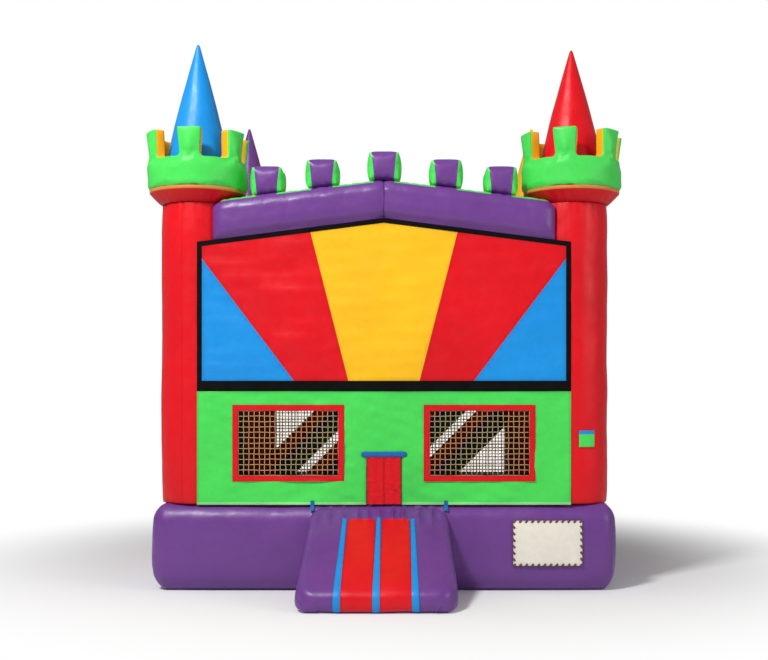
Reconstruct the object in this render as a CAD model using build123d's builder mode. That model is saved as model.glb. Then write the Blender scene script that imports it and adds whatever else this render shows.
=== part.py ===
from build123d import *
import os
from math import cos, radians, sin, sqrt, tan

# Inflatable castle bounce house, millimetres, +Z up.
# Origin: middle of the base's footprint, on the ground. The entrance faces -Y.

os.makedirs("parts", exist_ok=True)

# ---------------------------------------------------------------- driving sizes
# Vinyl and clearances
skin = 5  # wall of an inflated form
sheet = 4  # flat vinyl, tape and net
seat_gap = 0.3  # between a curved face and what it seats on

# Base
base_width = 3960
base_depth = 3960
base_height = 730
base_tube_width = 690
base_edge_radius = 130
floor_height = 560
baffle_pitch = 320
baffle_end_gap = 150

# Corner towers
tower_inset = 367  # from the base's outer faces to a tower's axis
column_radius = 305
column_height = 2540
collar_height = 100
crown_radius = 435
crown_wall = 100
crown_band_height = 280
crown_merlon_height = 250
crown_merlon_width = 205
crown_merlon_count = 6
cone_foot_gap = 10  # between a cone's foot and the crown around it
cone_tip_radius = 12
cone_heights = {"front_left": 1300, "front_right": 1250, "rear_left": 1290, "rear_right": 1290}
crown_turns = {"front_left": 0, "front_right": -15, "rear_left": 30, "rear_right": 10}

# Beams between the tower heads
arch_eave_lift = 40  # the front arch's top stands this far above the columns at its ends
arch_rise = 160
arch_thickness = 400
arch_depth = 360
beam_height = 350
beam_width = 260
beam_edge_radius = 90
arch_merlon_width = 270
arch_merlon_depth = 300
arch_merlon_height = 230
arch_merlon_end_inset = 318  # from an end of the arch to the middle of its outer merlon
arch_merlon_inner_share = 0.53  # where an inner merlon stands between the apex and the outer one
roof_drop = 120  # from the beams' tops down to the roof cover
roof_corner_cut = 330

# Front wall and its ray panel
wall_edge_lap = 45  # the wall stops this far inside the tower axes
wall_bottom_gap = 5  # the loose lower edge hangs this far below the base's top
lower_wall_height = 946  # above the base's top
border_width = 40
border_foot_width = 88
panel_eave_drop = 380  # from the arch's top down to the border's top, at the sides
panel_apex_drop = 340  # the same, in the middle
ray_foot_inner_share = 0.196  # of the panel's half width
ray_foot_outer_share = 0.494
ray_head_inner_share = 0.404
ray_head_outer_drop = 105  # the outer ray ends this far below the side border's head

# Windows in the lower wall
window_side_margin = 347  # from an end of the wall to its window
window_header_gap = 193  # from the door header to a window
window_height = 543
window_sill_height = 240  # above the base's top
window_frame_width = 50

# Door
door_flap_width = 134
door_flap_length = 390
door_slit = 2
door_side_gap = 14
door_head_gap = 10
flap_hem_radius = 4
flap_standoff = 8
header_width = 380
header_height = 47
header_thickness = 20
door_height = 395  # from the base's top to the header

# Ramp
ramp_offset = -40
ramp_run = 930
ramp_back_width = 1165
ramp_front_width = 1256
ramp_lip_height = 165
ramp_shoulder_run = 100
ramp_shoulder_drop = 120  # from the base's top down to the ramp's shoulder
ramp_back_drop = 80
ramp_lip_radius = 90
ramp_shoulder_radius = 120
ramp_corner_radius = 95
lane_width = 240
rail_width = 50
lane_floor_gap = 8
tie_width = 35
tie_spacing = 1120
tie_wall_reach = 50
tie_angle = 36

# Rear and side walls
net_openings_across = 12
net_cord_width = 12
rear_band_width = 140
rear_band_pitch = 620
rear_band_count = 4
rear_band_lean = 45
rear_band_height = 1100

# Blower inlet sleeve
sleeve_radius = 150
sleeve_wall = 3
sleeve_length = 600
sleeve_side_inset = 1080  # from the base's right side to the sleeve's axis
sleeve_height = 290
strap_width = 30
strap_thickness = 3
strap_from_mouth = 120

# Anchor rings on webbing tabs
anchor_end_inset = 480  # from an end of the base's side to a ring
anchor_height = 175
ring_wire_radius = 5
ring_half_width = 33
ring_leg = 20
ring_corner_radius = 12
tab_width = 46
tab_length = 130
tab_thickness = 3

# Blank patch on the base's front
patch_width = 575
patch_height = 375
patch_side_inset = 614  # from the base's right side to the patch's middle
patch_centre_z = 410

# ---------------------------------------------------------------- derived places
half_width = base_width / 2
half_depth = base_depth / 2
tower_x = half_width - tower_inset
tower_y = half_depth - tower_inset
towers = {
    "front_left": (-tower_x, -tower_y),
    "front_right": (tower_x, -tower_y),
    "rear_left": (-tower_x, tower_y),
    "rear_right": (tower_x, tower_y),
}
column_top = base_height + column_height
crown_foot = column_top + collar_height
crown_bore = crown_radius - crown_wall
bay_half_x = tower_x - column_radius - seat_gap
bay_half_y = tower_y - column_radius - seat_gap
wall_back = -(tower_y + column_radius)
wall_front = wall_back - sheet
wall_half = tower_x - wall_edge_lap
wall_bottom = base_height - wall_bottom_gap
beam_top = column_top
arch_eave_height = column_top + arch_eave_lift
arch_apex = arch_eave_height + arch_rise
lower_wall_top = base_height + lower_wall_height
header_bottom = base_height + door_height


def write(builder, node):
    """Label a finished piece and write it as its own STEP file."""
    builder.part.label = node
    export_step(builder.part, f"parts/{node}.step")


def front_sheet(node, outline, cuts=()):
    """A flat piece in the front wall's plane, from its outline and cuts in (x, z)."""
    with BuildPart() as piece:
        with BuildSketch(Plane.XZ.offset(-wall_back)):
            Polygon(*outline, align=None)
            for cut in cuts:
                Polygon(*cut, align=None, mode=Mode.SUBTRACT)
        extrude(amount=sheet)
    write(piece, node)


def rectangle_points(x_low, x_high, z_low, z_high):
    return [(x_low, z_low), (x_high, z_low), (x_high, z_high), (x_low, z_high)]


# ---------------------------------------------------------------- base
base_outer = [
    (-half_width, -half_depth),
    (half_width, -half_depth),
    (half_width, half_depth),
    (-half_width, half_depth),
]
floor_half_x = half_width - base_tube_width
floor_half_y = half_depth - base_tube_width
base_inner = [
    (-floor_half_x, -floor_half_y),
    (floor_half_x, -floor_half_y),
    (floor_half_x, floor_half_y),
    (-floor_half_x, floor_half_y),
]

for index, side in enumerate(["front", "right", "rear", "left"]):
    following = (index + 1) % 4
    tube_axis = Axis.X if side in ("front", "rear") else Axis.Y
    with BuildPart() as base_tube:
        with BuildSketch():
            Polygon(
                base_outer[index],
                base_outer[following],
                base_inner[following],
                base_inner[index],
                align=None,
            )
        extrude(amount=base_height)
        fillet(base_tube.edges().filter_by(tube_axis), radius=base_edge_radius)
        offset(amount=-skin, kind=Kind.INTERSECTION, mode=Mode.SUBTRACT)
    write(base_tube, f"base_tube_{side}")

with BuildPart() as bounce_floor:
    with BuildSketch():
        Rectangle(2 * floor_half_x, 2 * floor_half_y)
    extrude(amount=floor_height)
    offset(amount=-skin, kind=Kind.INTERSECTION, mode=Mode.SUBTRACT)
write(bounce_floor, "bounce_floor")

# Internal webs that tie the floor's top to its underside
baffle_count = int(2 * floor_half_y / baffle_pitch) - 1
with BuildPart() as floor_baffles:
    with BuildSketch(Plane.XY.offset(skin)):
        with GridLocations(0, baffle_pitch, 1, baffle_count):
            Rectangle(2 * (floor_half_x - baffle_end_gap), sheet)
    extrude(amount=floor_height - 2 * skin)
write(floor_baffles, "floor_baffles")

# ---------------------------------------------------------------- corner towers
for corner, (x, y) in towers.items():
    with BuildPart() as column:
        with BuildSketch(Plane((x, y, base_height))):
            Circle(column_radius)
        extrude(amount=column_height)
        offset(amount=-skin, kind=Kind.INTERSECTION, mode=Mode.SUBTRACT)
    write(column, f"column_{corner}")

    with BuildPart() as crown:
        for inset, mode in ((0, Mode.ADD), (skin, Mode.SUBTRACT)):
            crown_plane = Plane((x, y, crown_foot + inset))
            with BuildSketch(crown_plane):
                Circle(crown_radius - inset)
                Circle(crown_bore + inset, mode=Mode.SUBTRACT)
            extrude(amount=crown_band_height - 2 * inset, mode=mode)
            with BuildSketch(crown_plane):
                with PolarLocations(
                    crown_radius - crown_wall / 2,
                    crown_merlon_count,
                    start_angle=crown_turns[corner] - 90,
                ):
                    Rectangle(2 * crown_wall, crown_merlon_width - 2 * inset)
                Circle(crown_radius - inset, mode=Mode.INTERSECT)
                Circle(crown_bore + inset, mode=Mode.SUBTRACT)
            extrude(amount=crown_band_height + crown_merlon_height - 2 * inset, mode=mode)
    write(crown, f"crown_{corner}")

    with BuildPart() as cone:
        with BuildSketch(Plane((x, y, crown_foot))):
            Circle(crown_bore - cone_foot_gap)
        with BuildSketch(Plane((x, y, crown_foot + cone_heights[corner]))):
            Circle(cone_tip_radius)
        loft()
        offset(amount=-skin, kind=Kind.INTERSECTION, mode=Mode.SUBTRACT)
    write(cone, f"cone_{corner}")

# Flared collars that carry the crowns out past the columns
with BuildPart() as turret_collars:
    for x, y in towers.values():
        with BuildSketch(Plane((x, y, column_top))):
            Circle(column_radius)
        with BuildSketch(Plane((x, y, crown_foot))):
            Circle(crown_radius)
        loft()
    offset(amount=-skin, kind=Kind.INTERSECTION, mode=Mode.SUBTRACT)
write(turret_collars, "turret_collars")

# ---------------------------------------------------------------- front arch
# The arch's top corners are cut back to clear the flare of the collars
collar_flare = (crown_radius - column_radius) * arch_eave_lift / collar_height
arch_shoulder = bay_half_x - collar_flare - seat_gap


def arch_top(x):
    """Height of the arch's gable top at x."""
    return arch_apex - arch_rise * abs(x) / arch_shoulder


# Two halves, sewn together at the apex
for side, sign in (("left", -1), ("right", 1)):
    with BuildPart() as arch_half:
        with BuildSketch(Plane.XZ.offset(-wall_back)):
            Polygon(
                (0, arch_apex - arch_thickness),
                (0, arch_apex),
                (sign * arch_shoulder, arch_eave_height),
                (sign * bay_half_x, column_top),
                (sign * bay_half_x, arch_eave_height - arch_thickness),
                align=None,
            )
        extrude(amount=-arch_depth)
        offset(amount=-skin, kind=Kind.INTERSECTION, mode=Mode.SUBTRACT)
    write(arch_half, f"front_arch_{side}")

arch_merlon_reach = bay_half_x - arch_merlon_end_inset
arch_merlon_centres = {
    "outer_left": -arch_merlon_reach,
    "inner_left": -arch_merlon_reach * arch_merlon_inner_share,
    "centre": 0,
    "inner_right": arch_merlon_reach * arch_merlon_inner_share,
    "outer_right": arch_merlon_reach,
}
for place, centre in arch_merlon_centres.items():
    low = centre - arch_merlon_width / 2
    high = centre + arch_merlon_width / 2
    with BuildPart() as arch_merlon:
        with BuildSketch(Plane.XZ.offset(-wall_back - (arch_depth - arch_merlon_depth) / 2)):
            Polygon(
                (low, arch_top(centre) + arch_merlon_height),
                (low, arch_top(low)),
                *([(0, arch_apex)] if low < 0 < high else []),
                (high, arch_top(high)),
                (high, arch_top(centre) + arch_merlon_height),
                align=None,
            )
        extrude(amount=-arch_merlon_depth)
        offset(amount=-skin, kind=Kind.INTERSECTION, mode=Mode.SUBTRACT)
    write(arch_merlon, f"arch_merlon_{place}")

# ---------------------------------------------------------------- side and rear top beams
beam_centres = {
    "left": Plane((-tower_x, 0, beam_top - beam_height / 2), x_dir=(1, 0, 0), z_dir=(0, 1, 0)),
    "right": Plane((tower_x, 0, beam_top - beam_height / 2), x_dir=(1, 0, 0), z_dir=(0, 1, 0)),
    "rear": Plane((0, tower_y, beam_top - beam_height / 2), x_dir=(0, 1, 0), z_dir=(1, 0, 0)),
}
for side, beam_plane in beam_centres.items():
    with BuildPart() as top_beam:
        with BuildSketch(beam_plane):
            RectangleRounded(beam_width, beam_height, beam_edge_radius)
        extrude(amount=bay_half_x if side == "rear" else bay_half_y, both=True)
        offset(amount=-skin, kind=Kind.INTERSECTION, mode=Mode.SUBTRACT)
    write(top_beam, f"top_beam_{side}")

# Roof cover, sewn between the beams' inner faces and the arch's back
roof_half_x = tower_x - beam_width / 2
roof_front = wall_back + arch_depth
roof_rear = tower_y - beam_width / 2
with BuildPart() as roof_cover:
    with BuildSketch(Plane.XY.offset(beam_top - roof_drop)):
        with Locations((0, (roof_front + roof_rear) / 2)):
            Rectangle(2 * roof_half_x, roof_rear - roof_front)
    extrude(amount=sheet)
    chamfer(roof_cover.edges().filter_by(Axis.Z), length=roof_corner_cut)
write(roof_cover, "roof_cover")

# ---------------------------------------------------------------- front wall
window_inner = header_width / 2 + window_header_gap
window_outer = wall_half - window_side_margin
window_sill = base_height + window_sill_height
window_top = window_sill + window_height
door_half = door_flap_width + door_slit / 2 + door_side_gap
door_top = header_bottom + door_head_gap


def window_outline(sign, grow):
    """A window's opening in (x, z), grown on every side."""
    sides = sorted((sign * (window_inner - grow), sign * (window_outer + grow)))
    return rectangle_points(*sides, window_sill - grow, window_top + grow)


front_sheet(
    "front_wall",
    rectangle_points(-wall_half, wall_half, wall_bottom, lower_wall_top),
    cuts=[
        window_outline(-1, 0),
        window_outline(1, 0),
        rectangle_points(-door_half, door_half, wall_bottom - sheet, door_top),
    ],
)

for side, sign in (("left", -1), ("right", 1)):
    front_sheet(f"window_net_{side}", window_outline(sign, 0))
    with BuildPart() as window_frame:
        with BuildSketch(Plane.XZ.offset(-wall_front)):
            Polygon(*window_outline(sign, window_frame_width), align=None)
            Polygon(*window_outline(sign, 0), align=None, mode=Mode.SUBTRACT)
        extrude(amount=sheet)
    write(window_frame, f"window_frame_{side}")

# ---------------------------------------------------------------- ray panel
panel_half = wall_half - border_width
panel_foot = lower_wall_top + border_foot_width
ray_foot_inner = panel_half * ray_foot_inner_share
ray_foot_outer = panel_half * ray_foot_outer_share
ray_head_inner = panel_half * ray_head_inner_share
eave = arch_eave_height - panel_eave_drop
panel_apex = arch_apex - panel_apex_drop


def gable(x, drop=0):
    """Height of the panel's gable edge at x, lowered by drop."""
    return panel_apex - (panel_apex - eave) * abs(x) / wall_half - drop


for side, sign in (("left", -1), ("right", 1)):
    side_head = gable(panel_half, border_width) - ray_head_outer_drop
    front_sheet(
        f"ray_blue_{side}",
        [
            (sign * ray_foot_outer, panel_foot),
            (sign * panel_half, panel_foot),
            (sign * panel_half, side_head),
        ],
    )
    front_sheet(
        f"ray_red_{side}",
        [
            (sign * ray_foot_inner, panel_foot),
            (sign * ray_foot_outer, panel_foot),
            (sign * panel_half, side_head),
            (sign * panel_half, gable(panel_half, border_width)),
            (sign * ray_head_inner, gable(ray_head_inner, border_width)),
        ],
    )

front_sheet(
    "ray_yellow_centre",
    [
        (-ray_foot_inner, panel_foot),
        (ray_foot_inner, panel_foot),
        (ray_head_inner, gable(ray_head_inner, border_width)),
        (0, gable(0, border_width)),
        (-ray_head_inner, gable(ray_head_inner, border_width)),
    ],
)

# Hook-and-loop strips around the panel, in one continuous run
with BuildPart() as panel_border:
    with BuildSketch(Plane.XZ.offset(-wall_back)):
        Polygon(
            (-wall_half, lower_wall_top),
            (wall_half, lower_wall_top),
            (wall_half, eave),
            (0, panel_apex),
            (-wall_half, eave),
            align=None,
        )
        Polygon(
            (-panel_half, panel_foot),
            (panel_half, panel_foot),
            (panel_half, gable(panel_half, border_width)),
            (0, gable(0, border_width)),
            (-panel_half, gable(panel_half, border_width)),
            align=None,
            mode=Mode.SUBTRACT,
        )
    extrude(amount=sheet)
write(panel_border, "panel_border")

# ---------------------------------------------------------------- door
with BuildPart() as door_header:
    with BuildSketch(Plane.XZ.offset(-wall_front)):
        with Locations((0, header_bottom + header_height / 2)):
            Rectangle(header_width, header_height)
    extrude(amount=header_thickness)
write(door_header, "door_header")

# Each flap hangs from a hemmed roll that turns just under the header
flap_y = wall_front - flap_standoff - sheet / 2
flap_pivot_z = header_bottom - seat_gap - flap_hem_radius
for side, sign in (("left", -1), ("right", 1)):
    with BuildPart() as door_flap:
        inner = sign * door_slit / 2
        outer = inner + sign * door_flap_width
        with BuildSketch(Plane.YZ.offset(min(inner, outer))):
            with Locations((flap_y, flap_pivot_z)):
                Circle(flap_hem_radius)
            with Locations((flap_y, flap_pivot_z - door_flap_length / 2)):
                Rectangle(sheet, door_flap_length)
        extrude(amount=door_flap_width)
    write(door_flap, f"door_flap_{side}")

# ---------------------------------------------------------------- side and rear nets
net_top = beam_top - beam_height
net_height = net_top - base_height
net_middle = (net_top + base_height) / 2


def net_panel(node, plane, width):
    """A net in its sewn edges, its fine mesh taken as a plain grid of openings."""
    rows = round(net_openings_across * net_height / width)
    pitch_across = (width - net_cord_width) / net_openings_across
    pitch_up = (net_height - net_cord_width) / rows
    with BuildPart() as panel:
        with BuildSketch(plane):
            Rectangle(width, net_height)
            with GridLocations(pitch_across, pitch_up, net_openings_across, rows):
                Rectangle(pitch_across - net_cord_width, pitch_up - net_cord_width, mode=Mode.SUBTRACT)
        extrude(amount=sheet)
    write(panel, node)


for side, sign in (("left", -1), ("right", 1)):
    side_origin = (sign * tower_x - sheet / 2, 0, net_middle)
    net_panel(f"net_{side}", Plane(side_origin, x_dir=(0, 1, 0), z_dir=(1, 0, 0)), 2 * bay_half_y)

rear_origin = (0, tower_y + sheet / 2, net_middle)
net_panel("net_rear", Plane(rear_origin, x_dir=(1, 0, 0), z_dir=(0, -1, 0)), 2 * bay_half_x)

# Diagonal vinyl bands sewn to the rear net's inner face
with BuildPart() as rear_bands:
    band_rise = rear_band_height / 2
    band_run = band_rise * tan(radians(rear_band_lean))
    band_half = rear_band_width / 2 / cos(radians(rear_band_lean))
    with BuildSketch(Plane.XZ.offset(-(tower_y - sheet / 2))):
        with Locations((0, base_height + band_rise)):
            with GridLocations(rear_band_pitch, 0, rear_band_count, 1):
                Polygon(
                    (-band_run - band_half, -band_rise),
                    (-band_run + band_half, -band_rise),
                    (band_run + band_half, band_rise),
                    (band_run - band_half, band_rise),
                    align=None,
                )
            Rectangle(2 * bay_half_x, rear_band_height, mode=Mode.INTERSECT)
    extrude(amount=sheet)
write(rear_bands, "rear_bands")

# ---------------------------------------------------------------- ramp
base_face = -half_depth
ramp_shoulder_height = base_height - ramp_shoulder_drop
ramp_back_height = base_height - ramp_back_drop


def ramp_top(y):
    """Height of the ramp's top at y, before its corners are rounded."""
    shoulder_y = base_face - ramp_shoulder_run
    slope = (ramp_shoulder_height - ramp_lip_height) / (ramp_run - ramp_shoulder_run)
    if y > shoulder_y:
        slope = (ramp_back_height - ramp_shoulder_height) / ramp_shoulder_run
    return ramp_shoulder_height + (y - shoulder_y) * slope


def ramp_profile(grow):
    """The ramp's side outline in (y, z), grown on every side."""
    back = base_face + grow
    front = base_face - ramp_run - grow
    with BuildSketch(Plane.YZ) as profile:
        Polygon(
            (back, -grow),
            (front, -grow),
            (front, ramp_top(front) + grow),
            (base_face - ramp_shoulder_run, ramp_shoulder_height + grow),
            (back, ramp_top(back) + grow),
            align=None,
        )
        columns = profile.vertices().group_by(Axis.X)
        lip = columns[0].sort_by(Axis.Y)[-1]
        shoulder = columns[1][0]
        fillet(lip, ramp_lip_radius + grow)
        fillet(shoulder, ramp_shoulder_radius + grow)
    return profile


def ramp_plan(grow):
    """The ramp's outline on the ground, grown on every side."""
    back = base_face + grow
    front = base_face - ramp_run - grow
    back_reach = ramp_back_width / 2 + grow
    front_reach = ramp_front_width / 2 + grow
    with BuildSketch() as plan:
        Polygon(
            (ramp_offset - back_reach, back),
            (ramp_offset + back_reach, back),
            (ramp_offset + front_reach, front),
            (ramp_offset - front_reach, front),
            align=None,
        )
        fillet(plan.vertices().group_by(Axis.Y)[0], ramp_corner_radius + grow)
    return plan


def ramp_form(grow):
    profile = ramp_profile(grow).sketch
    plan = ramp_plan(grow).sketch
    with BuildPart() as form:
        extrude(profile, amount=ramp_front_width, both=True)
        extrude(plan, amount=base_height, mode=Mode.INTERSECT)
    return form.part


ramp_outer = ramp_form(0)
ramp_void = ramp_form(-skin)
with BuildPart() as ramp:
    add(ramp_outer)
    add(ramp_void, mode=Mode.SUBTRACT)
write(ramp, "ramp")

# Strips follow the ramp's surface from its shoulder down to just above the ground
strip_top = ramp_shoulder_height
strip_span = (base_face - ramp_run, base_face - ramp_shoulder_run)
ramp_side = ramp_profile(0).sketch_local
strip_side = ramp_profile(sheet).sketch_local


def ramp_strips(node, centres, width):
    with BuildPart() as strips:
        for centre in centres:
            with BuildSketch(Plane.YZ.offset(ramp_offset + centre - width / 2)):
                add(strip_side)
                add(ramp_side, mode=Mode.SUBTRACT)
                Polygon(
                    (strip_span[0] - 2 * sheet, lane_floor_gap),
                    (strip_span[1], lane_floor_gap),
                    (strip_span[1], strip_top + base_edge_radius),
                    (strip_span[0] - 2 * sheet, strip_top + base_edge_radius),
                    align=None,
                    mode=Mode.INTERSECT,
                )
            extrude(amount=width)
    write(strips, node)


lane_pitch = lane_width + rail_width
ramp_strips("ramp_lanes", (-lane_pitch / 2, lane_pitch / 2), lane_width)
ramp_strips("ramp_rails", (-lane_pitch, 0, lane_pitch), rail_width)

# Ties that pull the wall's loose edge down over the base's rounded shoulder
shoulder_y = -half_depth + base_edge_radius
shoulder_z = base_height - base_edge_radius
tie_radius = base_edge_radius + seat_gap
tie_low = radians(tie_angle)
tie_reach = 2 * base_edge_radius
tie_seat_z = shoulder_z + sqrt(tie_radius**2 - (shoulder_y - wall_front) ** 2)
with BuildPart() as ramp_ties:
    for sign in (-1, 1):
        with BuildSketch(Plane.YZ.offset(ramp_offset + sign * tie_spacing / 2 - tie_width / 2)):
            with Locations((shoulder_y, shoulder_z)):
                Circle(tie_radius + sheet)
                Circle(tie_radius, mode=Mode.SUBTRACT)
            Polygon(
                (shoulder_y, shoulder_z),
                (shoulder_y - tie_reach * cos(tie_low), shoulder_z + tie_reach * sin(tie_low)),
                (wall_front - tie_reach, shoulder_z + tie_reach),
                (wall_front, shoulder_z + tie_reach),
                align=None,
                mode=Mode.INTERSECT,
            )
            with Locations((wall_front - sheet / 2, tie_seat_z + tie_wall_reach / 2)):
                Rectangle(sheet, tie_wall_reach)
        extrude(amount=tie_width)
write(ramp_ties, "ramp_ties")

# ---------------------------------------------------------------- blank patch
with BuildPart() as care_patch:
    with BuildSketch(Plane.XZ.offset(half_depth)):
        with Locations((half_width - patch_side_inset, patch_centre_z)):
            Rectangle(patch_width, patch_height)
    extrude(amount=sheet)
write(care_patch, "care_patch")

# ---------------------------------------------------------------- blower inlet sleeve
sleeve_side = half_width - sleeve_side_inset
with BuildPart() as inlet_sleeve:
    with BuildSketch(Plane.XZ.offset(-half_depth)):
        with Locations((sleeve_side, sleeve_height)):
            Circle(sleeve_radius)
            Circle(sleeve_radius - sleeve_wall, mode=Mode.SUBTRACT)
    extrude(amount=-sleeve_length)
write(inlet_sleeve, "inlet_sleeve")

with BuildPart() as sleeve_strap:
    with BuildSketch(Plane.XZ.offset(-(half_depth + sleeve_length - strap_from_mouth))):
        with Locations((sleeve_side, sleeve_height)):
            Circle(sleeve_radius + seat_gap + strap_thickness)
            Circle(sleeve_radius + seat_gap, mode=Mode.SUBTRACT)
    extrude(amount=strap_width)
write(sleeve_strap, "sleeve_strap")

# ---------------------------------------------------------------- anchor rings
tab_bore = ring_wire_radius + seat_gap
ring_stand = tab_bore + tab_thickness  # from the base's side to a ring's bar
anchor_y = half_depth - anchor_end_inset
anchor_places = {
    "front_left": (-1, -anchor_y),
    "front_right": (1, -anchor_y),
    "rear_left": (-1, anchor_y),
    "rear_right": (1, anchor_y),
}

with BuildPart() as anchor_tabs:
    for sign, y in anchor_places.values():
        bar_x = sign * (half_width + ring_stand)
        with BuildSketch(Plane.XZ.offset(-y - tab_width / 2)):
            with Locations((bar_x, anchor_height)):
                Circle(ring_stand)
            with Locations((sign * (half_width + tab_thickness / 2), anchor_height + tab_length / 2)):
                Rectangle(tab_thickness, tab_length)
            with Locations((bar_x, anchor_height)):
                Circle(tab_bore, mode=Mode.SUBTRACT)
        extrude(amount=tab_width)
write(anchor_tabs, "anchor_tabs")

for corner, (sign, y) in anchor_places.items():
    with BuildPart() as anchor_ring:
        ring_plane = Plane(
            (sign * (half_width + ring_stand), y, anchor_height), x_dir=(0, 1, 0), z_dir=(1, 0, 0)
        )
        with BuildLine(ring_plane) as bow:
            bar = Line((-ring_half_width, 0), (ring_half_width, 0))
            near_leg = Line((ring_half_width, 0), (ring_half_width, -ring_leg))
            ThreePointArc(
                (ring_half_width, -ring_leg),
                (0, -ring_leg - ring_half_width),
                (-ring_half_width, -ring_leg),
            )
            Line((-ring_half_width, -ring_leg), (-ring_half_width, 0))
            fillet(bow.vertices().group_by(Axis.Z)[-1], ring_corner_radius)
        with BuildSketch(Plane((bar.position_at(0) + bar.position_at(1)) / 2, z_dir=(0, 1, 0))):
            Circle(ring_wire_radius)
        sweep()
    write(anchor_ring, f"anchor_ring_{corner}")
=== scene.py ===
import math

import bmesh
import bpy
import numpy as np
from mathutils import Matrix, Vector


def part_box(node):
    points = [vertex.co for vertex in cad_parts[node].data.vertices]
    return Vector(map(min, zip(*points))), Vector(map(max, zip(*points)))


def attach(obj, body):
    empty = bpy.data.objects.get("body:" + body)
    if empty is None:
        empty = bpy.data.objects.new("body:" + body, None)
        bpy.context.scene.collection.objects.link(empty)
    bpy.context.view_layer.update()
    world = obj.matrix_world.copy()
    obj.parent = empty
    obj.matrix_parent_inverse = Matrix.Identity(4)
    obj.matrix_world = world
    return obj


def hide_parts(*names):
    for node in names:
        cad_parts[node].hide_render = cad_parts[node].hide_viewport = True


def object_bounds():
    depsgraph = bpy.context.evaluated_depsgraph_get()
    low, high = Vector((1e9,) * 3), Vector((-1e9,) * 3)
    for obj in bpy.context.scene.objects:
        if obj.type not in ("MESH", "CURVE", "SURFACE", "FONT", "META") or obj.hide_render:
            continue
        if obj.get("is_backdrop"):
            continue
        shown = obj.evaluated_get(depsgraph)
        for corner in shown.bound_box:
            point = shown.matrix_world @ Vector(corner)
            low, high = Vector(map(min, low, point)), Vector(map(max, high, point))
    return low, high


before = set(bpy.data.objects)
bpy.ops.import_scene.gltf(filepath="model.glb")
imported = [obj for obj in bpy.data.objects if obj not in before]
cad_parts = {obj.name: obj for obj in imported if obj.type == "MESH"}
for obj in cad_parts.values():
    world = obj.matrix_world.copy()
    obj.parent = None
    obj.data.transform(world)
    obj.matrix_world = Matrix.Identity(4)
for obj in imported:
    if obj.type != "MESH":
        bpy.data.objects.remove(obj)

# Inflatable castle bounce house, dressed over its CAD frame. Metres, +Z up, entrance faces -Y.

scene = bpy.context.scene
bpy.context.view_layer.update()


# ---- places read from the frame
def centre(node):
    low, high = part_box(node)
    return (low + high) / 2


def size(node):
    low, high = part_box(node)
    return high - low


base_low, base_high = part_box("base_tube_front")
half = base_high.x
base_top = base_high.z
tube_width = base_high.y - base_low.y
corners = ("front_left", "front_right", "rear_left", "rear_right")
towers = {c: centre(f"column_{c}") for c in corners}
column_radius = size("column_front_left").x / 2
column_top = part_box("column_front_left")[1].z
crown_low, crown_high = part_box("crown_front_left")
crown_radius = size("turret_collars").x / 2 - towers["front_right"].x
crown_turns = {"front_left": 0, "front_right": -15, "rear_left": 30, "rear_right": 10}  # degrees
wall_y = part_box("front_wall")[0].y
ramp_low, ramp_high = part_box("ramp")
ramp_mid = (ramp_low.x + ramp_high.x) / 2
tie_width = 0.035
ties_low, ties_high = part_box("ramp_ties")
tie_places = (ties_low.x + tie_width / 2, ties_high.x - tie_width / 2)


# ---- points and smooth seeded unevenness
def grid(u, v):
    return np.meshgrid(u, v, indexing="ij")


def points(x, y, z):
    return np.stack(np.broadcast_arrays(x, y, z), axis=-1)


def waves(at, length, seed):
    """Smooth noise from -1 to 1 at points (..., 3), with bumps about length apart."""
    count = 9
    rng = np.random.default_rng(seed)
    way = rng.normal(size=(count, 3))
    way /= np.linalg.norm(way, axis=1)[:, None]
    way *= 2 * math.pi / length * rng.uniform(0.6, 1.5, (count, 1))
    phase = rng.uniform(0, 2 * math.pi, count)
    height = np.sin(at.reshape(-1, 3) @ way.T + phase).sum(axis=1) / math.sqrt(count) / 1.4
    return height.reshape(at.shape[:-1])


def gathers(along, pitch, seed):
    """Puckers of gathered vinyl, from 0 in a fold to 1 on a ridge, uneven along a seam."""
    line = points(along, 0, 0)
    drift = waves(line, pitch * 3.1, seed) * 0.9
    weight = 0.6 + 0.4 * waves(line, pitch * 5.3, seed + 1)
    return weight * (1 - np.abs(np.sin(math.pi * along / pitch + drift)) ** 0.7)


def fade(distance, reach):
    """1 at no distance, falling off over about the reach."""
    return np.exp(-np.maximum(distance, 0) / reach)


def squared_round(turn, power):
    """The cosine and sine of a rounded square: power 1 is a circle, less is squarer."""
    c, s = np.cos(turn), np.sin(turn)
    return np.sign(c) * np.abs(c) ** power, np.sign(s) * np.abs(s) ** power


def linear(r, g, b):
    """An sRGB colour, each part from 0 to 255, as a linear one."""
    def one(c):
        c /= 255
        return c / 12.92 if c <= 0.04045 else ((c + 0.055) / 1.055) ** 2.4

    return (one(r), one(g), one(b), 1)


def set_inputs(tree, node, inputs):
    """Gives a node's inputs their values, or links them to other nodes' outputs."""
    for key, value in inputs.items():
        if isinstance(value, bpy.types.NodeSocket):
            tree.links.new(value, node.inputs[key])
        else:
            node.inputs[key].default_value = value


def add_node(tree, kind, inputs=None, **settings):
    node = tree.nodes.new(f"ShaderNode{kind}")
    for key, value in settings.items():
        setattr(node, key, value)
    set_inputs(tree, node, inputs or {})
    return node


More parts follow.
